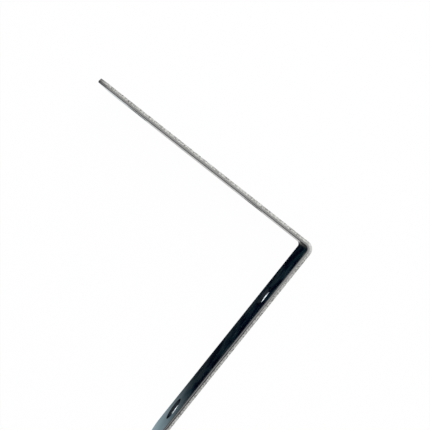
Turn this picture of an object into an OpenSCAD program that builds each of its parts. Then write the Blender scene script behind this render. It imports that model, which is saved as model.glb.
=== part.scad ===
// Steel angle bracket, modelled as the real one is made: a strip with rounded corners is blanked
// from sheet, its screw holes are punched and countersunk, and it is bent once to a right angle.
// It lies on one cut edge. The heel's sharp corner is the origin, the outer faces lie in the
// planes x = 0 and y = 0, and the strip's width stands along Z.

/* [Strip] */
// Length of the leg along X, from the heel's sharp corner to the tip
leg_x_length = 90; // [70:1:130]
// Length of the leg along Y, from the heel's sharp corner to the tip
leg_y_length = 90; // [70:1:130]
// Width of the strip
strip_width = 19; // [14:0.5:24]
// Thickness of the strip
strip_thickness = 1.6; // [1.5:0.1:3]
// Radius of the strip's corners at the two tips
end_corner_radius = 5; // [1:0.5:6.5]

/* [Bend] */
// Radius on the inside of the bend
bend_inner_radius = 1.4; // [0.6:0.1:6]

/* [Blanked edge] */
// Radius that the blanking die rolls along the edges of the inner faces
rollover_radius = 0.4; // [0.1:0.05:0.5]
// Height of the smooth sheared band that follows the roll-over
sheared_band = 0.35; // [0.2:0.05:0.8]
// How far the torn rest of the edge leans in at the outer face
tear_lean = 0.12; // [0.02:0.01:0.2]

/* [Screw holes] */
// Diameter of each screw hole
hole_diameter = 6; // [4.5:0.1:7]
// Depth of the countersink below the inner face
countersink_depth = 1; // [0.2:0.1:1.4]
// Full angle of the countersink's cone
countersink_angle = 90; // [80:1:110]
// Distance from the heel's sharp corner to the hole near the bend
inner_hole_from_heel = 24; // [16:0.5:28]
// Distance from the tip to the hole near the tip
outer_hole_from_tip = 15.5; // [10:0.5:22]

/* [Hidden] */
$fn = 96;

bend_outer_radius = bend_inner_radius + strip_thickness;
half_width = strip_width / 2;
tear_top = strip_thickness - rollover_radius - sheared_band;
// How far a cutting shape runs past the face that it opens
past = 1;

// Section of the blanked strip: X runs across the width, and Y rises from the outer face at 0
// to the inner face, whose two edges the die has rolled over.
module strip_section() {
    foot = half_width - tear_lean;
    difference() {
        polygon([
            [-foot, 0],
            [foot, 0],
            [half_width, tear_top],
            [half_width, strip_thickness],
            [-half_width, strip_thickness],
            [-half_width, tear_top]
        ]);
        for (side = [0, 1])
            mirror([side, 0]) rollover_cut(half_width);
    }
}

// The same edge on one side only, with the section's other side cut straight down at X = 0
module edge_section(reach) {
    difference() {
        polygon([
            [0, 0],
            [reach - tear_lean, 0],
            [reach, tear_top],
            [reach, strip_thickness],
            [0, strip_thickness]
        ]);
        rollover_cut(reach);
    }
}

// What the roll-over takes off a top corner that stands at the given reach
module rollover_cut(reach) {
    translate([reach - rollover_radius, strip_thickness - rollover_radius])
        difference() {
            square(rollover_radius + past);
            circle(r = rollover_radius);
        }
}

// Screw hole on the Z axis, countersunk from the inner face
module screw_hole() {
    hole_radius = hole_diameter / 2;
    cone_height = countersink_depth + past;
    translate([0, 0, -past])
        cylinder(r = hole_radius, h = strip_thickness + 2 * past);
    translate([0, 0, strip_thickness - countersink_depth])
        cylinder(
            r1 = hole_radius,
            r2 = hole_radius + cone_height * tan(countersink_angle / 2),
            h = cone_height
        );
}

// The strip's end from where its corners begin, so X runs from there to the tip
module strip_end() {
    corner_across = half_width - end_corner_radius;
    translate([0, corner_across, 0])
        rotate([90, 0, 0])
        linear_extrude(2 * corner_across) edge_section(end_corner_radius);
    translate([0, corner_across, 0])
        rotate_extrude(angle = 90) edge_section(end_corner_radius);
    translate([0, -corner_across, 0])
        rotate([0, 0, -90])
        rotate_extrude(angle = 90) edge_section(end_corner_radius);
}

// One leg as it lies flat before bending: X runs from the heel to the tip, and the outer face
// is down on z = 0. It starts where the bend ends.
module flat_leg(length) {
    end_start = length - end_corner_radius;
    difference() {
        union() {
            translate([bend_outer_radius, 0, 0])
                rotate([90, 0, 90])
                linear_extrude(end_start - bend_outer_radius) strip_section();
            translate([end_start, 0, 0]) strip_end();
        }
        for (along = [inner_hole_from_heel, length - outer_hole_from_tip])
            translate([along, 0, 0]) screw_hole();
    }
}

// A leg in its place, with the outer face on y = 0 and the strip's lower edge on z = 0
module standing_leg(length) {
    translate([0, 0, half_width]) rotate([-90, 0, 0]) flat_leg(length);
}

// The quarter turn that joins the legs, swept from the same section
module bend() {
    translate([bend_outer_radius, bend_outer_radius, 0])
        rotate([0, 0, 180])
        rotate_extrude(angle = 90)
        translate([bend_outer_radius, half_width])
        rotate(90) strip_section();
}

module angle_bracket() {
    color("silver") {
        standing_leg(leg_x_length);
        mirror([1, -1, 0]) standing_leg(leg_y_length);
        bend();
    }
}

angle_bracket();
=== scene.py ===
"""Steel angle bracket on a pale floor.

The bracket is modelled the way it is made: the cut edge of a blank is swept round the leg, the
faces are filled in between its screw holes, the bend is spun and the leg is mirrored. A sidebar
panel holds the sizes, the finish and the stage, and one operator makes each of the two groups.
"""
from math import atan2, cos, hypot, pi, radians, sin, tan

import bmesh
import bpy
from bpy.props import FloatProperty, FloatVectorProperty, PointerProperty
from mathutils import Matrix, Vector, noise


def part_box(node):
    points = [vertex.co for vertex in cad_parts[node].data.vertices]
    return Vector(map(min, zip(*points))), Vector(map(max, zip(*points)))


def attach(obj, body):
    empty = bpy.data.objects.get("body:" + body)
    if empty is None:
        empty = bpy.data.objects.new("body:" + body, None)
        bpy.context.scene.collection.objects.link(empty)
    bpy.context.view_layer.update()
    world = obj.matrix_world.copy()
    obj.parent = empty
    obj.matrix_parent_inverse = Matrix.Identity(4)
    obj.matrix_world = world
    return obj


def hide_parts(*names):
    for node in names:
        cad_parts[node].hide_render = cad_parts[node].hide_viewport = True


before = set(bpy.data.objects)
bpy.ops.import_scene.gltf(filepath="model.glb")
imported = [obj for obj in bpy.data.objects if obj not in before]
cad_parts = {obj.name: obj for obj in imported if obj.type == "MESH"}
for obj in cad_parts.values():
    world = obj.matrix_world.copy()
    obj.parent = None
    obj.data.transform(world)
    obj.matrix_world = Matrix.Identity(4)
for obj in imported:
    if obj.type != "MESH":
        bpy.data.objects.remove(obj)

bl_info = {
    "name": "Steel Angle Bracket",
    "version": (1, 0, 0),
    "blender": (4, 5, 0),
    "location": "View3D > Sidebar > Bracket",
    "description": "Makes a plated steel angle bracket with sheared edges, and its studio stage",
    "category": "Add Mesh",
}

NODE = "angle_bracket"
BODY = "root"
MM = 0.001

CAD_LOW, CAD_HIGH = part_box(NODE)
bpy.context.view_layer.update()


class BracketSizes(bpy.types.PropertyGroup):
    """Sizes of the bracket, in metres"""

    leg_x: FloatProperty(
        name="Leg along X",
        description="From the heel's sharp corner to the tip of the leg along X",
        default=round(CAD_HIGH[0], 4),
        min=0.03,
        precision=5,
        unit="LENGTH",
    )
    leg_y: FloatProperty(
        name="Leg along Y",
        description="From the heel's sharp corner to the tip of the leg along Y",
        default=round(CAD_HIGH[1], 4),
        min=0.03,
        precision=5,
        unit="LENGTH",
    )
    width: FloatProperty(
        name="Strip width",
        description="Width of the strip, which stands up from the floor",
        default=round(CAD_HIGH[2] - CAD_LOW[2], 4),
        min=0.01,
        precision=5,
        unit="LENGTH",
    )
    thickness: FloatProperty(
        name="Strip thickness",
        description="Thickness of the strip",
        default=0.0016,
        min=0.001,
        precision=5,
        unit="LENGTH",
    )
    corner_radius: FloatProperty(
        name="Corner radius",
        description="Radius of the strip's corners at the two tips",
        default=0.005,
        min=0.0005,
        precision=5,
        unit="LENGTH",
    )
    bend_inner: FloatProperty(
        name="Inside bend radius",
        description="Radius on the inside of the bend",
        default=0.0014,
        min=0.0003,
        precision=5,
        unit="LENGTH",
    )
    rollover: FloatProperty(
        name="Roll-over",
        description="Radius that the blanking die rolls along the inner face's edges",
        default=0.0004,
        min=0.00005,
        precision=5,
        unit="LENGTH",
    )
    sheared_band: FloatProperty(
        name="Sheared band",
        description="Height of the smooth band between the roll-over and the torn zone",
        default=0.00035,
        min=0.00005,
        precision=5,
        unit="LENGTH",
    )
    tear_lean: FloatProperty(
        name="Tear lean",
        description="How far the torn zone leans in at the outer face",
        default=0.00012,
        min=0.0,
        precision=5,
        unit="LENGTH",
    )
    nick_depth: FloatProperty(
        name="Nick depth",
        description="Depth of the deepest nicks that tearing leaves along the outer face's edge",
        default=0.00011,
        min=0.0,
        precision=5,
        unit="LENGTH",
    )
    hole: FloatProperty(
        name="Hole diameter",
        description="Diameter of each screw hole",
        default=0.006,
        min=0.002,
        precision=5,
        unit="LENGTH",
    )
    countersink: FloatProperty(
        name="Countersink depth",
        description="Depth of the countersink below the inner face",
        default=0.001,
        min=0.0001,
        precision=5,
        unit="LENGTH",
    )
    countersink_angle: FloatProperty(
        name="Countersink angle",
        description="Full angle of the countersink's cone",
        default=radians(90),
        subtype="ANGLE",
        unit="ROTATION",
    )
    inner_hole: FloatProperty(
        name="Inner hole from heel",
        description="Distance from the heel's sharp corner to the hole near the bend",
        default=0.024,
        precision=5,
        unit="LENGTH",
    )
    outer_hole: FloatProperty(
        name="Outer hole from tip",
        description="Distance from the tip to the hole near the tip",
        default=0.0155,
        precision=5,
        unit="LENGTH",
    )


class BracketFinish(bpy.types.PropertyGroup):
    """Colours of the bracket's surfaces, some of them painted shade, highlights and reflections"""

    plate: FloatVectorProperty(
        name="Plated face",
        description="Colour of the bright plated faces",
        subtype="COLOR",
        size=3,
        min=0.0,
        max=1.0,
        default=(0.40, 0.45, 0.48),
    )
    plate_tint: FloatVectorProperty(
        name="Plate tint",
        description="Cooler colour that clouds the plated faces",
        subtype="COLOR",
        size=3,
        min=0.0,
        max=1.0,
        default=(0.30, 0.355, 0.395),
    )
    # Painted reflection: the light end of a low-angle tint that grades along the plated faces
    painted_sheen: FloatVectorProperty(
        name="Sheen",
        description="Tint of the plated faces at a low angle, towards the tips",
        subtype="COLOR",
        size=3,
        min=0.0,
        max=1.0,
        default=(0.50, 0.62, 0.66),
    )
    # Painted shade: this dark low-angle tint darkens the plated faces near the bend, in the inside
    # corner
    bend_shade_tint: FloatVectorProperty(
        name="Deep sheen",
        description="Tint of the plated faces at a low angle, near the bend",
        subtype="COLOR",
        size=3,
        min=0.0,
        max=1.0,
        default=(0.056, 0.055, 0.055),
    )
    # Partly the bright cut steel of the hole wall, partly a painted highlight of the light shining
    # through the hole onto it
    bore_and_highlight: FloatVectorProperty(
        name="Bore",
        description="Brightest colour on the wall of the screw holes",
        subtype="COLOR",
        size=3,
        min=0.0,
        max=1.0,
        default=(0.84, 0.92, 0.97),
    )
    # Painted shade: the countersink's cone is painted near black, as shade in the recess
    countersink_shade: FloatVectorProperty(
        name="Countersink",
        description="Colour of the dull cone that the countersink leaves",
        subtype="COLOR",
        size=3,
        min=0.0,
        max=1.0,
        default=(0.02, 0.025, 0.031),
    )
    torn: FloatVectorProperty(
        name="Torn edge",
        description="Colour of the bright, grainy part of the cut edge",
        subtype="COLOR",
        size=3,
        min=0.0,
        max=1.0,
        default=(0.44, 0.44, 0.43),
    )
    # The smooth band is a real part of the cut edge; its near-black colour is painted shade,
    # standing in for the dark surroundings it reflects
    sheared: FloatVectorProperty(
        name="Sheared band",
        description="Colour of the smooth, dark part of the cut edge",
        subtype="COLOR",
        size=3,
        min=0.0,
        max=1.0,
        default=(0.042, 0.042, 0.044),
    )
    torn_grain: FloatVectorProperty(
        name="Torn grain",
        description="Colour of the darker grains between the bright ones",
        subtype="COLOR",
        size=3,
        min=0.0,
        max=1.0,
        default=(0.2, 0.199, 0.193),
    )
    # Painted highlight: the sheared band is painted lighter at the bend, along the leg on X, and in
    # a thin line where the roll-over starts
    band_highlight: FloatVectorProperty(
        name="Band highlight",
        description="Colour of the sheared band at the bend and along X, where it is rubbed lighter",
        subtype="COLOR",
        size=3,
        min=0.0,
        max=1.0,
        default=(0.15, 0.15, 0.15),
    )
    # Painted shade: the curved roll-over is painted near black, standing in for the dark
    # surroundings it reflects
    rolled_rim_shade: FloatVectorProperty(
        name="Rolled rim",
        description="Colour of the roll-over where it meets the inner face",
        subtype="COLOR",
        size=3,
        min=0.0,
        max=1.0,
        default=(0.03, 0.031, 0.034),
    )
    # Painted highlight: the cut edge outside the bend is painted light where a glint of the light
    # falls on it
    bend_highlight: FloatVectorProperty(
        name="Bend highlight",
        description="Colour of the cut edge outside the bend, which the press has rubbed bright",
        subtype="COLOR",
        size=3,
        min=0.0,
        max=1.0,
        default=(0.45, 0.455, 0.445),
    )
    pit: FloatVectorProperty(
        name="Pits",
        description="Colour in the pits and tears of the cut edge",
        subtype="COLOR",
        size=3,
        min=0.0,
        max=1.0,
        default=(0.05, 0.049, 0.048),
    )


class StageSettings(bpy.types.PropertyGroup):
    """Camera, lights and floor"""

    camera_place: FloatVectorProperty(
        name="Camera place",
        description="Where the camera stands, nearly straight above the inside of the bend",
        subtype="TRANSLATION",
        unit="LENGTH",
        size=3,
        default=(0.032676, 0.006107, 0.173184),
    )
    camera_turn: FloatVectorProperty(
        name="Camera turn",
        description="Angles of the camera, from looking straight down with Y up in the picture",
        subtype="EULER",
        unit="ROTATION",
        size=3,
        default=(radians(-1.835), radians(1.209), radians(-141.753)),
    )
    lens: FloatProperty(
        name="Lens",
        description="Focal length for a sensor 36 mm wide",
        default=39.83,
        min=1.0,
        unit="CAMERA",
    )
    overhead: FloatProperty(
        name="Overhead softbox",
        description="Brightness of the softbox above the camera, where 1 is white",
        default=1.0,
        min=0.0,
    )
    side: FloatProperty(
        name="Side softbox",
        description="Brightness of the softbox beside the leg along X, where 1 is white",
        default=2.5,
        min=0.0,
    )
    room: FloatProperty(
        name="Room",
        description="Brightness of the room round the object, where 1 is white",
        default=0.5,
        min=0.0,
    )
    floor_colour: FloatVectorProperty(
        name="Floor",
        description="Colour of the floor",
        subtype="COLOR",
        size=3,
        min=0.0,
        max=1.0,
        default=(0.92, 0.92, 0.92),
    )


class StripShape:
    """The sizes in millimetres, with those that follow from them"""

    def __init__(self, sizes):
        self.leg_x = sizes.leg_x / MM
        self.leg_y = sizes.leg_y / MM
        self.width = sizes.width / MM
        self.thickness = sizes.thickness / MM
        self.corner_radius = sizes.corner_radius / MM
        self.bend_inner = sizes.bend_inner / MM
        self.rollover = sizes.rollover / MM
        self.sheared_band = sizes.sheared_band / MM
        self.tear_lean = sizes.tear_lean / MM
        self.nick_depth = sizes.nick_depth / MM
        self.hole_radius = sizes.hole / MM / 2
        self.sink_depth = sizes.countersink / MM
        self.sink_radius = self.hole_radius + self.sink_depth * tan(sizes.countersink_angle / 2)
        self.inner_hole = sizes.inner_hole / MM
        self.outer_hole = sizes.outer_hole / MM
        self.half_width = self.width / 2
        self.bend_outer = self.bend_inner + self.thickness
        self.tear_top = self.thickness - self.rollover - self.sheared_band
        self.bend_arc = (self.bend_outer - self.thickness / 2) * pi / 2

    def hole_places(self, length):
        """Distances from the heel to the holes of a leg"""
        return self.inner_hole, length - self.outer_hole


# Spacing of the rings that the cut edge is swept in, fine enough to hold its nicks
RING = 0.35
CORNER_RINGS = 24
HOLE_SIDES = 72
BEND_RINGS = 12
ROLLOVER_STEPS = 6
TEAR_STEPS = 5
# Vertices closer than this, in millimetres, are one
WELD = 1e-3


def cut_edge_profile(bm, strip):
    """The section of the cut edge, from the outer face up to the inner one, where the bend ends"""
    start, side = strip.bend_outer, -strip.half_width
    steps = [i / TEAR_STEPS for i in range(TEAR_STEPS + 1)]
    torn = [(start, side + strip.tear_lean * (1 - i), strip.tear_top * i) for i in steps]
    band = (start, side, strip.thickness - strip.rollover)
    verts = [bm.verts.new(co) for co in (*torn, band)]
    for pair in zip(verts, verts[1:]):
        bm.edges.new(pair)
    bmesh.ops.spin(
        bm,
        geom=[verts[-1]],
        cent=(start, side + strip.rollover, strip.thickness - strip.rollover),
        axis=(1, 0, 0),
        angle=-pi / 2,
        steps=ROLLOVER_STEPS,
    )
    return bm.verts[:] + bm.edges[:]


def sweep_straight(bm, profile, way):
    """Sweeps a profile along a straight way in even rings, and returns it where it ends"""
    rings = round(way.length / RING)
    out = bmesh.ops.spin(bm, geom=profile, dvec=way / rings, axis=(0, 0, 1), angle=0, steps=rings)
    return out["geom_last"]


def sweep_cut_edge(bm, strip, length, profile):
    """Sweeps the cut edge out along one side, round the corner and in to the tip's middle"""
    corner = length - strip.corner_radius
    inset = strip.half_width - strip.corner_radius
    profile = sweep_straight(bm, profile, Vector((corner - strip.bend_outer, 0, 0)))
    out = bmesh.ops.spin(
        bm,
        geom=profile,
        cent=(corner, -inset, 0),
        axis=(0, 0, 1),
        angle=pi / 2,
        steps=CORNER_RINGS,
    )
    sweep_straight(bm, out["geom_last"], Vector((0, inset, 0)))
    swept = bm.verts[:] + bm.edges[:] + bm.faces[:]
    bmesh.ops.mirror(bm, geom=swept, axis="Y", merge_dist=WELD)


def bore_hole(bm, strip, along):
    """Wall and countersink of one screw hole, turned from their section"""
    heights = (0, strip.thickness - strip.sink_depth, strip.thickness)
    radii = (strip.hole_radius, strip.hole_radius, strip.sink_radius)
    wall = [bm.verts.new((along + r, 0, h)) for r, h in zip(radii, heights)]
    edges = [bm.edges.new(pair) for pair in zip(wall, wall[1:])]
    bmesh.ops.spin(
        bm,
        geom=wall + edges,
        cent=(along, 0, 0),
        axis=(0, 0, 1),
        angle=2 * pi,
        steps=HOLE_SIDES,
        use_merge=True,
    )


def fill_face(bm, height, normal):
    """Fills the flat face at a height between the cut edge and the holes"""
    rim = [
        e
        for e in bm.edges
        if e.is_boundary and all(abs(v.co.z - height) < WELD for v in e.verts)
    ]
    start = min(v.co.x for e in rim for v in e.verts)
    ends = [v for e in rim for v in e.verts if v.co.x - start < WELD]
    low, high = min(ends, key=lambda v: v.co.y), max(ends, key=lambda v: v.co.y)
    rim.append(bm.edges.new((low, high)))
    bmesh.ops.triangle_fill(bm, use_beauty=True, edges=rim, normal=normal)


def half_bend(bm, strip):
    """Spins the open end of the leg round to the plane that halves the bend"""
    start = strip.bend_outer
    section = [e for e in bm.edges if all(abs(v.co.x - start) < WELD for v in e.verts)]
    verts = {v for e in section for v in e.verts}
    bmesh.ops.spin(
        bm,
        geom=section + list(verts),
        cent=(start, 0, start),
        axis=(0, 1, 0),
        angle=pi / 4,
        steps=BEND_RINGS,
    )


def build_leg(strip, length):
    """One leg and its half of the bend, lying with its outer face down"""
    bm = bmesh.new()
    profile = cut_edge_profile(bm, strip)
    sweep_cut_edge(bm, strip, length, profile)
    for along in strip.hole_places(length):
        bore_hole(bm, strip, along)
    bmesh.ops.remove_doubles(bm, verts=bm.verts, dist=WELD)
    fill_face(bm, 0, (0, 0, -1))
    fill_face(bm, strip.thickness, (0, 0, 1))
    half_bend(bm, strip)
    return bm


def stand_up(strip):
    """Stands a flat leg on its edge, with the outer face on the plane y = 0"""
    return Matrix.Translation((0, 0, strip.half_width)) @ Matrix.Rotation(-pi / 2, 4, "X")


def swap_legs():
    """Mirrors the leg along X into the leg along Y"""
    return Matrix.Scale(-1, 4, Vector((1, -1, 0)).normalized())


def strip_place(strip, co):
    """Where a point of the bent strip lies on the flat one: along it, across it and through it"""
    corner = strip.bend_outer
    if co.x >= corner:
        along, through = co.x - corner + strip.bend_arc / 2, co.y
    elif co.y >= corner:
        along, through = -(co.y - corner + strip.bend_arc / 2), co.x
    else:
        turned = atan2(corner - co.y, corner - co.x) - pi / 4
        along = turned / (pi / 2) * strip.bend_arc
        through = corner - hypot(corner - co.x, corner - co.y)
    return Vector((along, co.z - strip.half_width, through))


def end_offset(strip, place):
    """How far a place lies past the centre of its end's corner, towards the tip and the side"""
    length = strip.leg_x if place.x > 0 else strip.leg_y
    centre = length - strip.corner_radius - strip.bend_outer + strip.bend_arc / 2
    inset = strip.half_width - strip.corner_radius
    return Vector((max(0.0, abs(place.x) - centre), max(0.0, abs(place.y) - inset)))


def outward(strip, place):
    """Direction out of the cut edge, within the plane of the strip"""
    offset = end_offset(strip, place).normalized()
    ahead = Vector((1, 0, 0)) if place.x > 0 else Vector((0, 1, 0))
    up = Vector((0, 0, 1 if place.y > 0 else -1))
    return ahead * offset.x + up * offset.y


def on_cut_edge(strip, place):
    """Whether a place lies on the strip's cut edge"""
    reach = strip.corner_radius - strip.tear_lean - strip.rollover / 2
    return end_offset(strip, place).length > reach


def nick_cut_edge(bm, strip):
    """Tears small nicks into the cut edge towards the outer face, where the steel broke"""
    for v in bm.verts:
        place = strip_place(strip, v.co)
        if place.z > strip.tear_top or not on_cut_edge(strip, place):
            continue
        spot = Vector((place.x, place.y, 0))
        rough = 0.5 + 0.5 * noise.fractal(spot * 1.1, 0.8, 2.2, 4)
        deep = max(0.0, noise.noise(spot * 0.45 + Vector((31, 0, 0))) - 0.18) * 2.4
        crumb = 0.5 + 0.5 * noise.noise(Vector((place.x * 2.6, place.y * 2.6, place.z * 3.1)))
        weight = 1 - place.z / strip.tear_top
        depth = strip.nick_depth * (0.3 * rough + deep * rough) * weight
        depth += strip.nick_depth * 0.16 * crumb * min(1, 4 * weight)
        v.co -= outward(strip, place) * min(depth, strip.nick_depth * 1.3)


def in_hole(strip, place):
    """Whether a place lies on the wall of a screw hole"""
    length = strip.leg_x if place.x > 0 else strip.leg_y
    from_heel = abs(place.x) + strip.bend_outer - strip.bend_arc / 2
    return any(
        hypot(from_heel - along, place.y) < strip.sink_radius + WELD
        for along in strip.hole_places(length)
    )


PLATED, SHEARED, BORED = range(3)


def surface_kind(strip, face):
    """Which finish a face gets"""
    place = strip_place(strip, face.calc_center_median())
    if on_cut_edge(strip, place) and 0 < place.z < strip.thickness - WELD:
        return SHEARED
    if in_hole(strip, place) and WELD < place.z < strip.thickness - WELD:
        return BORED
    return PLATED


def store_places(mesh, strip):
    """Keeps each vertex's place on the flat strip, which the finishes follow round the bend"""
    places = mesh.attributes.new("strip_place", "FLOAT_VECTOR", "POINT")
    found = [strip_place(strip, v.co / MM) for v in mesh.vertices]
    places.data.foreach_set("vector", [n for place in found for n in place])


def build_bracket(strip):
    """The whole bracket as one closed mesh, in metres, on its edge"""
    mesh = bpy.data.meshes.new("bracket")
    whole = bmesh.new()
    for length, place in ((strip.leg_x, Matrix()), (strip.leg_y, swap_legs())):
        leg = build_leg(strip, length)
        bmesh.ops.transform(leg, matrix=place @ stand_up(strip), verts=leg.verts)
        leg.to_mesh(mesh)
        leg.free()
        whole.from_mesh(mesh)
    bmesh.ops.remove_doubles(whole, verts=whole.verts, dist=WELD)
    nick_cut_edge(whole, strip)
    bmesh.ops.recalc_face_normals(whole, faces=whole.faces)
    for face in whole.faces:
        face.smooth = True
        face.material_index = surface_kind(strip, face)
    bmesh.ops.transform(whole, matrix=Matrix.Scale(MM, 4), verts=whole.verts)
    whole.to_mesh(mesh)
    whole.free()
    return mesh


# Edges sharper than this stay crisp
CRISP_ANGLE = radians(28)


def make_bracket(strip, finish):
    """The finished bracket, standing for the plain solid"""
    mesh = build_bracket(strip)
    store_places(mesh, strip)
    mesh.set_sharp_from_angle(angle=CRISP_ANGLE)
    for material in (plated_steel(finish), sheared_steel(finish, strip), bored_steel(finish, strip)):
        mesh.materials.append(material)
    bracket = bpy.data.objects.new("bracket", mesh)
    bpy.context.scene.collection.objects.link(bracket)
    flat = bracket.modifiers.new("flat faces", "WEIGHTED_NORMAL")
    flat.keep_sharp = True
    flat.weight = 100
    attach(bracket, BODY)
    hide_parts(NODE)
    return bracket


def new_material(name):
    """An empty node material, with its tree"""
    material = bpy.data.materials.new(name)
    material.use_nodes = True
    material.node_tree.nodes.clear()
    return material, material.node_tree


def add_node(tree, kind, settings=None, **sockets):
    """Adds a node; a socket named in words joined by _ takes a value or another node's output"""
    node = tree.nodes.new(kind)
    for name, value in (settings or {}).items():
        setattr(node, name, value)
    for name, value in sockets.items():
        words = name.replace("_", " ").lower()
        socket = next(s for s in node.inputs if s.name.lower() == words and s.enabled)
        if isinstance(value, bpy.types.NodeSocket):
            tree.links.new(value, socket)
        else:
            socket.default_value = value
    return node


def attribute(tree, name):
    """Reads one of the mesh's own attributes"""
    return add_node(tree, "ShaderNodeAttribute", {"attribute_name": name}).outputs


def stretched(tree, vector, scale, place=(0, 0, 0)):
    """A vector scaled by a different amount along each of its axes"""
    mapping = add_node(tree, "ShaderNodeMapping", Vector=vector, Scale=scale, Location=place)
    return mapping.outputs["Vector"]


def noise_of(tree, vector, scale, detail=3.0, roughness=0.55):
    """Soft noise between 0 and 1"""
    node = add_node(
        tree, "ShaderNodeTexNoise", Vector=vector, Scale=scale, Detail=detail, Roughness=roughness
    )
    return node.outputs["Fac"]


def ramp(tree, value, low, high, to_low=0.0, to_high=1.0):
    """Maps a value from one range onto another, and holds it there"""
    node = add_node(
        tree,
        "ShaderNodeMapRange",
        {"interpolation_type": "SMOOTHSTEP"},
        Value=value,
        From_Min=low,
        From_Max=high,
        To_Min=to_low,
        To_Max=to_high,
    )
    return node.outputs["Result"]


def maths(tree, operation, first, second=0.0):
    """One sum on two values"""
    node = tree.nodes.new("ShaderNodeMath")
    node.operation = operation
    for socket, value in zip(node.inputs, (first, second)):
        if isinstance(value, bpy.types.NodeSocket):
            tree.links.new(value, socket)
        else:
            socket.default_value = value
    return node.outputs[0]


def mixed(tree, factor, first, second):
    """A colour between two"""
    node = tree.nodes.new("ShaderNodeMix")
    node.data_type = "RGBA"
    sockets = (node.inputs[0], node.inputs[6], node.inputs[7])
    for socket, value in zip(sockets, (factor, first, second)):
        if isinstance(value, bpy.types.NodeSocket):
            tree.links.new(value, socket)
        else:
            socket.default_value = value if socket.type == "VALUE" else (*value, 1.0)
    return node.outputs[2]


def bumped(tree, height, distance, normal=None):
    """A normal bumped by a height"""
    node = add_node(tree, "ShaderNodeBump", Height=height, Distance=distance, Strength=1.0)
    if normal is not None:
        tree.links.new(normal, node.inputs["Normal"])
    return node.outputs["Normal"]


def finish_metal(tree, colour, roughness, normal, **others):
    """Joins the parts of a bare metal surface into its shader"""
    shader = add_node(
        tree,
        "ShaderNodeBsdfPrincipled",
        Base_Color=colour,
        Metallic=1.0,
        Roughness=roughness,
        Normal=normal,
        **others,
    )
    add_node(tree, "ShaderNodeOutputMaterial", Surface=shader.outputs[0])


# How far along the strip from its bend, in millimetres, the plate's low-angle tint turns from its
# painted shade near the bend to its painted light reflection towards the tips
SHADE_FADE_FROM = 59
SHADE_FADE_TO = 96


def plated_steel(finish):
    """Bright plate: cloudy, with rolling lines along the strip and a faint grain"""
    material, tree = new_material("plated steel")
    place = attribute(tree, "strip_place")["Vector"]
    cloud = noise_of(tree, place, 0.16, detail=4.0)
    colour = mixed(tree, ramp(tree, cloud, 0.35, 0.68), finish.plate_tint, finish.plate)
    rolled = noise_of(tree, stretched(tree, place, (0.05, 5.0, 1.0)), 1.0, detail=4.0)
    grain = noise_of(tree, place, 9.0, detail=2.0)
    dull = maths(tree, "MULTIPLY", ramp(tree, rolled, 0.3, 0.75), 0.04)
    roughness = maths(tree, "ADD", dull, ramp(tree, cloud, 0.3, 0.7, 0.08, 0.12))
    normal = bumped(tree, rolled, 0.0000015)
    normal = bumped(tree, grain, 0.0000004, normal)
    # Painted reflection: the low-angle tint is dark near the bend, as painted shade in the inside
    # corner, and light towards the tips
    along = add_node(tree, "ShaderNodeSeparateXYZ", Vector=place).outputs["X"]
    out = ramp(tree, maths(tree, "ABSOLUTE", along), SHADE_FADE_FROM, SHADE_FADE_TO)
    painted_sheen = mixed(tree, out, finish.bend_shade_tint, finish.painted_sheen)
    finish_metal(tree, colour, roughness, normal, Specular_Tint=painted_sheen)
    return material


# How far, in millimetres, the sheared band blends into the painted highlight line where the
# roll-over starts
RIM_HIGHLIGHT_BLEND = 0.05
# Tint of the cut edge and the hole walls at a low angle: painted shade, which keeps their rims dark
EDGE_SHADE_TINT = (0.15, 0.15, 0.16, 1.0)


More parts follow.
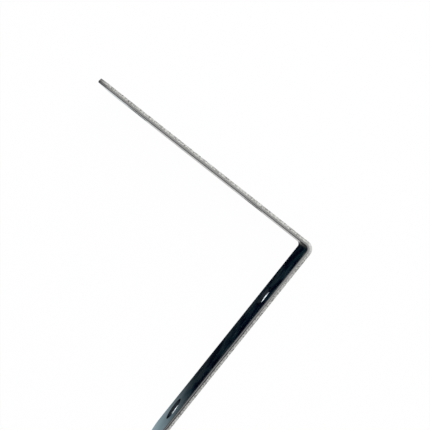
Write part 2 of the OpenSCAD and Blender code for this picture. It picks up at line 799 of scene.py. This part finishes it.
def sheared_steel(finish, strip):
    """Cut edge: rolled rim and sheared band painted dark as shade, painted highlights, and a torn
    zone with grains and pits
    """
    material, tree = new_material("sheared edge")
    spot = attribute(tree, "strip_place")["Vector"]
    places = add_node(tree, "ShaderNodeSeparateXYZ", Vector=spot).outputs
    through = places["Z"]
    wander = noise_of(tree, stretched(tree, spot, (0.8, 0.8, 0.0)), 1.0, detail=3.0)
    torn_at = ramp(tree, wander, 0.2, 0.8, strip.tear_top - 0.12, strip.tear_top + 0.06)
    depth = maths(tree, "SUBTRACT", torn_at, through)
    torn = ramp(tree, depth, -0.03, 0.06)
    scores = noise_of(tree, stretched(tree, spot, (5.0, 5.0, 0.35)), 1.0, detail=4.0)
    crumbs = noise_of(tree, stretched(tree, spot, (2.2, 2.2, 2.6)), 1.0, detail=5.0, roughness=0.65)
    pits = maths(tree, "MULTIPLY", ramp(tree, crumbs, 0.33, 0.42, 1.0, 0.0), torn)
    grains = mixed(tree, ramp(tree, crumbs, 0.38, 0.62), finish.torn_grain, finish.torn)
    # Painted shade on the roll-over, towards the inner face
    rolled = ramp(tree, through, strip.thickness - strip.rollover * 0.6, strip.thickness)
    # Painted highlight: the band is lighter at the bend and along the leg on X, fading out along Y
    lit_band_mask = ramp(tree, places["X"], -38, -8)
    band = mixed(tree, lit_band_mask, finish.sheared, finish.band_highlight)
    lip_at = strip.thickness - strip.rollover
    # Painted highlight: a thin lighter line where the roll-over starts
    rim_highlight = ramp(tree, through, lip_at - RIM_HIGHLIGHT_BLEND, lip_at + RIM_HIGHLIGHT_BLEND)
    band = mixed(tree, rim_highlight, band, finish.band_highlight)
    smooth = mixed(tree, rolled, band, finish.rolled_rim_shade)
    colour = mixed(tree, torn, smooth, mixed(tree, pits, grains, finish.pit))
    # Painted highlight on the cut edge outside the bend
    from_bend = maths(tree, "ABSOLUTE", places["X"])
    bend_highlight_mask = ramp(tree, through, 0.3, 1.1, 1.0, 0.0)
    bend_highlight_mask = maths(tree, "MULTIPLY", bend_highlight_mask, ramp(tree, from_bend, 0.6, 2.4, 1.0, 0.0))
    colour = mixed(tree, bend_highlight_mask, colour, finish.bend_highlight)
    rough_tear = maths(tree, "MULTIPLY", torn, 0.22)
    roughness = maths(tree, "ADD", rough_tear, ramp(tree, scores, 0.2, 0.8, 0.22, 0.34))
    normal = bumped(tree, scores, 0.00002)
    normal = bumped(tree, maths(tree, "MULTIPLY", crumbs, torn), 0.00006, normal)
    finish_metal(tree, colour, roughness, normal, Specular_Tint=EDGE_SHADE_TINT)
    return material


def bored_steel(finish, strip):
    """Bright hole wall with a painted highlight and a countersink painted dark as shade; faint rings
    from the cutter
    """
    material, tree = new_material("hole wall")
    place = attribute(tree, "strip_place")["Vector"]
    chatter = noise_of(tree, place, 1.4, detail=4.0)
    through = add_node(tree, "ShaderNodeSeparateXYZ", Vector=place).outputs["Z"]
    # Painted shade in the countersink's cone
    sunk_shade = maths(tree, "GREATER_THAN", through, strip.thickness - strip.sink_depth)
    # Painted highlight on the hole wall, over its bright cut steel
    bright = mixed(tree, ramp(tree, chatter, 0.3, 0.7), finish.plate, finish.bore_and_highlight)
    colour = mixed(tree, sunk_shade, bright, finish.countersink_shade)
    rings = noise_of(tree, stretched(tree, place, (0.3, 0.3, 14.0)), 1.0, detail=2.0)
    roughness = ramp(tree, chatter, 0.3, 0.7, 0.28, 0.4)
    normal = bumped(tree, rings, 0.000004)
    finish_metal(tree, colour, roughness, normal, Specular_Tint=EDGE_SHADE_TINT)
    return material


def shows_background(tree):
    """1 for the rays of the camera and for those in metal or glass, and 0 for others"""
    path = add_node(tree, "ShaderNodeLightPath").outputs
    direct = maths(tree, "MAXIMUM", path["Is Camera Ray"], path["Is Glossy Ray"])
    return maths(tree, "MAXIMUM", direct, path["Is Transmission Ray"])


# Share of plain white in what shows of the floor; the rest is its real shading
SHOWN_WHITE = 0.98
FLOOR_HALF = 3.0


def pale_floor(stage):
    """Matt floor that shows as nearly white, with the object's shadow faintly on it"""
    material, tree = new_material("pale floor")
    matt = add_node(tree, "ShaderNodeBsdfDiffuse", Color=(*stage.floor_colour, 1.0))
    white = add_node(tree, "ShaderNodeEmission", Color=(1.0, 1.0, 1.0, 1.0), Strength=1.0)
    share = maths(tree, "MULTIPLY", shows_background(tree), SHOWN_WHITE)
    mix = tree.nodes.new("ShaderNodeMixShader")
    for socket, value in zip(mix.inputs, (share, matt.outputs[0], white.outputs[0])):
        tree.links.new(value, socket)
    add_node(tree, "ShaderNodeOutputMaterial", Surface=mix.outputs[0])
    return material


def make_floor(stage):
    """A plain floor under the bracket's lower edge"""
    bm = bmesh.new()
    bmesh.ops.create_grid(bm, x_segments=1, y_segments=1, size=FLOOR_HALF)
    mesh = bpy.data.meshes.new("floor")
    bm.to_mesh(mesh)
    bm.free()
    mesh.materials.append(pale_floor(stage))
    floor = bpy.data.objects.new("floor", mesh)
    bpy.context.scene.collection.objects.link(floor)


LAMP_COLOUR = (1.0, 0.99, 0.97)


def make_softbox(name, place, towards, size, brightness):
    """A square softbox; its brightness is what a mirror would show of it, where 1 is white"""
    lamp = bpy.data.lights.new(name, "AREA")
    lamp.shape = "SQUARE"
    lamp.size = size
    lamp.color = LAMP_COLOUR
    lamp.energy = brightness * pi * size**2
    box = bpy.data.objects.new(name, lamp)
    box.location = place
    box.rotation_euler = (Vector(towards) - Vector(place)).to_track_quat("-Z", "Y").to_euler()
    box.visible_camera = False
    bpy.context.scene.collection.objects.link(box)
    return box


def make_room(stage):
    """Soft pale light from all round, which shows as white"""
    world = bpy.data.worlds.new("pale room")
    world.use_nodes = True
    tree = world.node_tree
    tree.nodes.clear()
    soft = add_node(
        tree, "ShaderNodeBackground", Color=(0.93, 0.97, 1.0, 1.0), Strength=stage.room
    )
    white = add_node(tree, "ShaderNodeBackground", Color=(1.0, 1.0, 1.0, 1.0), Strength=1.0)
    shown = shows_background(tree)
    mix = tree.nodes.new("ShaderNodeMixShader")
    for socket, value in zip(mix.inputs, (shown, soft.outputs[0], white.outputs[0])):
        tree.links.new(value, socket)
    add_node(tree, "ShaderNodeOutputWorld", Surface=mix.outputs[0])
    bpy.context.scene.world = world


def make_camera(stage):
    """The camera that took the photograph's view"""
    data = bpy.data.cameras.new("camera")
    data.sensor_width = 36
    data.lens = stage.lens
    camera = bpy.data.objects.new("camera", data)
    camera.location = stage.camera_place
    camera.rotation_euler = stage.camera_turn
    bpy.context.scene.collection.objects.link(camera)
    bpy.context.scene.camera = camera


class OBJECT_OT_steel_bracket(bpy.types.Operator):
    """Make the steel angle bracket"""

    bl_idname = "object.steel_bracket"
    bl_label = "Steel Angle Bracket"
    bl_options = {"REGISTER", "UNDO"}

    def execute(self, context):
        strip = StripShape(context.scene.bracket_sizes)
        make_bracket(strip, context.scene.bracket_finish)
        return {"FINISHED"}


class OBJECT_OT_bracket_stage(bpy.types.Operator):
    """Make the floor, the lights and the camera"""

    bl_idname = "object.bracket_stage"
    bl_label = "Bracket Stage"
    bl_options = {"REGISTER", "UNDO"}

    def execute(self, context):
        stage = context.scene.bracket_stage
        make_camera(stage)
        make_floor(stage)
        make_room(stage)
        make_softbox(
            "overhead softbox",
            (0.03, 0.02, 0.62),
            (0.03, 0.02, 0),
            0.6,
            stage.overhead,
        )
        make_softbox(
            "side softbox",
            (0.05, -0.34, 0.24),
            (0.03, 0.0, 0.0),
            0.3,
            stage.side,
        )
        context.scene.view_settings.view_transform = "Standard"
        return {"FINISHED"}


class VIEW3D_PT_steel_bracket(bpy.types.Panel):
    """Sizes, finish and stage of the bracket"""

    bl_label = "Steel Angle Bracket"
    bl_space_type = "VIEW_3D"
    bl_region_type = "UI"
    bl_category = "Bracket"

    def draw(self, context):
        scene = context.scene
        for group in (scene.bracket_sizes, scene.bracket_finish, scene.bracket_stage):
            box = self.layout.box()
            for name in group.__annotations__:
                box.prop(group, name)
        self.layout.operator(OBJECT_OT_steel_bracket.bl_idname)
        self.layout.operator(OBJECT_OT_bracket_stage.bl_idname)


CLASSES = (
    BracketSizes,
    BracketFinish,
    StageSettings,
    OBJECT_OT_steel_bracket,
    OBJECT_OT_bracket_stage,
    VIEW3D_PT_steel_bracket,
)
GROUPS = {
    "bracket_sizes": BracketSizes,
    "bracket_finish": BracketFinish,
    "bracket_stage": StageSettings,
}


def register():
    for cls in CLASSES:
        bpy.utils.register_class(cls)
    for name, group in GROUPS.items():
        setattr(bpy.types.Scene, name, PointerProperty(type=group))


def unregister():
    for name in GROUPS:
        delattr(bpy.types.Scene, name)
    for cls in reversed(CLASSES):
        bpy.utils.unregister_class(cls)


def main():
    register()
    bpy.ops.object.bracket_stage()
    bpy.ops.object.steel_bracket()


if __name__ == "__main__":
    main()
